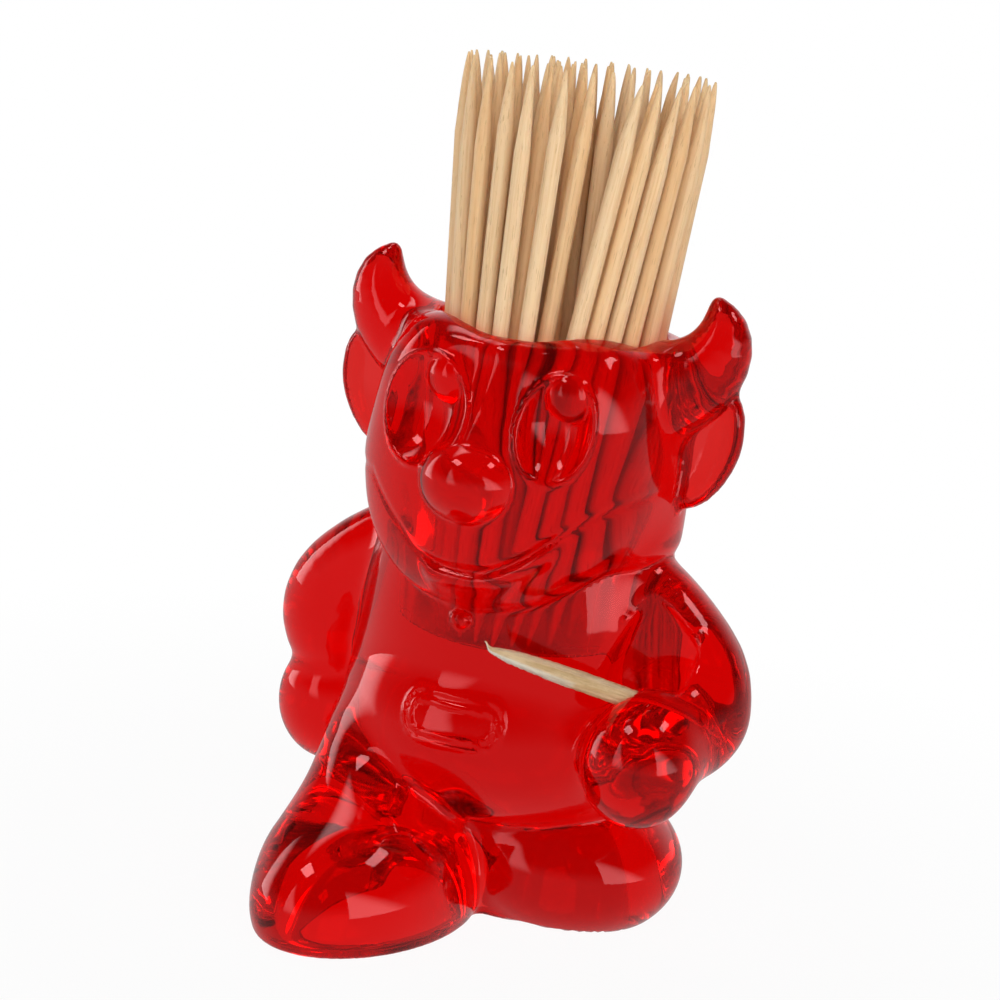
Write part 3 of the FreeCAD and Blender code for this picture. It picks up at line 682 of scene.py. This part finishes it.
# ------------------------------------------------------------------ the studio
# A pale table without an edge in sight, with softboxes at both sides, above and in front, a fill over the
# camera that nothing mirrors, and two small bright windows that only polished plastic shows.
scene = bpy.context.scene
scene.view_settings.view_transform = "Standard"
scene.cycles.max_bounces = 24
scene.cycles.transmission_bounces = 24
scene.cycles.glossy_bounces = 16
scene.cycles.transparent_max_bounces = 24

# the table: flat rings round a centre, a hair below the feet
TABLE_RINGS, TABLE_SIDES, TABLE_DROP = (0.12, 0.4, 1.2, 3.0), 96, 0.00006
turn = np.linspace(0, 2 * np.pi, TABLE_SIDES, endpoint=False)
circle = np.stack((np.cos(turn), np.sin(turn)), -1)
table_points = np.concatenate([np.zeros((1, 2))] + [radius * circle for radius in TABLE_RINGS])
table_points = np.column_stack((table_points, np.full(len(table_points), -TABLE_DROP)))
here = 1 + np.arange(TABLE_SIDES)
there = np.roll(here, -1)
table_faces = np.column_stack((np.zeros_like(here), here, there)).tolist()
for _ in TABLE_RINGS[1:]:
    table_faces += np.column_stack((here, here + TABLE_SIDES, there + TABLE_SIDES, there)).tolist()
    here, there = here + TABLE_SIDES, there + TABLE_SIDES
mesh = bpy.data.meshes.new("table_top")
mesh.from_pydata(table_points.tolist(), [], table_faces)
table = bpy.data.objects.new("table_top", mesh)
scene.collection.objects.link(table)

# White paper. The camera, polished plastic and what is seen through it meet it as plain white, a little
# greyer close to the feet, where it also keeps the shadow.
paper = bpy.data.materials.new("table_paper")
wire = bare_tree(paper)
rays = wire.node("LightPath", {}, {})
matte = wire.node("BsdfDiffuse", {}, {"Color": (0.86, 0.86, 0.86, 1.0)})
white = wire.node("Emission", {}, {"Color": (1.0, 1.0, 1.0, 1.0),
                                  "Strength": 1 - 0.5 * rays.also("Is Reflection Ray")})
far = wire.node("TexCoord", {}, {}).also("Object").length().between(0.05, 0.13, 0.94, 1.0)
direct = rays.also("Is Camera Ray")
bounced = rays.also("Is Glossy Ray").math("MAXIMUM", rays.also("Is Transmission Ray"))
lit = wire.node("MixShader", {}, {0: (direct * far).math("MAXIMUM", bounced), 1: matte, 2: white})
wire.node("OutputMaterial", {}, {"Surface": lit})
mesh.materials.append(paper)

# The air is plain white to look at. In reflections it is dark, but for a pale wall behind and a cove that
# rises from the table's far edge.
world = bpy.data.worlds.new("studio_air")
wire = bare_tree(world)
rays = wire.node("LightPath", {}, {})
seen = rays.also("Is Camera Ray").math("MAXIMUM", rays.also("Is Transmission Ray"))
mirrored = rays.also("Is Reflection Ray") * (1 - seen)
towards = wire.node("SeparateXYZ", {}, {0: wire.node("TexCoord", {}, {}).also("Generated")})
behind = towards.also("Y").between(0.45, 0.9, 0.0, 0.9)
cove = towards.also("Z").between(0.0, 0.35, 0.5, 0.04)
strength = 1.18 * (1 - mirrored) + behind.math("MAXIMUM", cove) * mirrored
air = wire.node("Background", {}, {"Color": (1.0, 1.0, 1.0, 1.0), "Strength": strength})
backdrop = wire.node("Background", {}, {"Color": (1.0, 1.0, 1.0, 1.0), "Strength": 1.0})
lit = wire.node("MixShader", {}, {0: seen, 1: air, 2: backdrop})
wire.node("OutputWorld", {}, {"Surface": lit})
scene.world = world

# Each softbox glows evenly at its middle and fades over the outer third of its cloth. A row gives a name,
# the bearing from the front towards the right and the rise over the horizon in degrees, then the distance,
# width and height in metres, and the radiance.
LAMPS = [("left_softbox", -77, 12, 0.9, 0.80, 1.25, 3.6),
         ("right_softbox", 82, 16, 0.9, 1.05, 1.05, 3.9),
         ("top_softbox", -100, 74, 0.9, 0.62, 0.56, 4.4),
         ("front_fill", 20, 30, 1.1, 0.90, 0.60, 3.2),
         ("front_softbox", -20, 22, 0.9, 0.46, 0.84, 2.8),
         ("left_window", -45, 58, 0.9, 0.28, 0.16, 9.0),
         ("right_window", 97, 58, 0.9, 0.24, 0.15, 8.0)]
LAMP_AIM = (0, 0, 0.05)
for name, bearing, rise, far, width, height, radiance in LAMPS:
    lamp = bpy.data.lights.new(name, "AREA")
    lamp.shape, lamp.size, lamp.size_y = "RECTANGLE", width, height
    lamp.energy = radiance * math.pi * width * height
    if name.endswith("softbox"):
        wire = bare_tree(lamp)
        cloth = wire.node("SeparateXYZ", {}, {0: wire.node("NewGeometry", {}, {}).also("Parametric")})
        glow = 1.0
        for across in (cloth.also("Y"), 1 - cloth.also("X") - cloth.also("Y")):
            glow = (4 * across * (1 - across)).between(0.0, 0.85, kind="SMOOTHSTEP") * glow
        light = wire.node("Emission", {}, {"Color": (1.0, 1.0, 1.0, 1.0), "Strength": glow})
        wire.node("OutputLight", {}, {"Surface": light})
    holder = bpy.data.objects.new(name, lamp)
    bearing, rise = math.radians(bearing), math.radians(rise)
    outward = Vector((math.sin(bearing) * math.cos(rise), -math.cos(bearing) * math.cos(rise),
                         math.sin(rise)))
    holder.location = outward * far + Vector(LAMP_AIM)
    holder.rotation_euler = outward.to_track_quat("Z", "Y").to_euler()
    holder.visible_glossy = name != "front_fill"
    holder.visible_diffuse = not name.endswith("window")
    scene.collection.objects.link(holder)

# ------------------------------------------------------------------ the camera
# It stands 20 degrees round from the front to the right and a little above the sticks, and is rolled, so
# that the figure leans. Its place and aim are millimetres from the foot of the well's axis.
CAMERA_AT, CAMERA_AIM, CAMERA_ROLL = (94.06, -258.4, 112.0), (-3.5, -1.3, 46.75), 6.6
camera = bpy.data.objects.new("camera", bpy.data.cameras.new("camera"))
camera.data.sensor_width, camera.data.lens = 36.0, 88.2
camera.data.clip_start, camera.data.clip_end = 0.01, 20.0
stand, aim = (Vector(spot) + Vector(WELL_AXIS) for spot in (CAMERA_AT, CAMERA_AIM))
forward = (aim - stand).normalized()
right = forward.cross(Vector((0, 0, 1))).normalized()
up = right.cross(forward)
roll = math.radians(CAMERA_ROLL)
frame_right = right * math.cos(roll) + up * math.sin(roll)
frame_up = up * math.cos(roll) - right * math.sin(roll)
camera.matrix_world = Matrix([[*row, place] for row, place in zip(
    zip(frame_right, frame_up, -forward), stand / 1000)] + [[0, 0, 0, 1]])
scene.collection.objects.link(camera)
scene.camera = camera
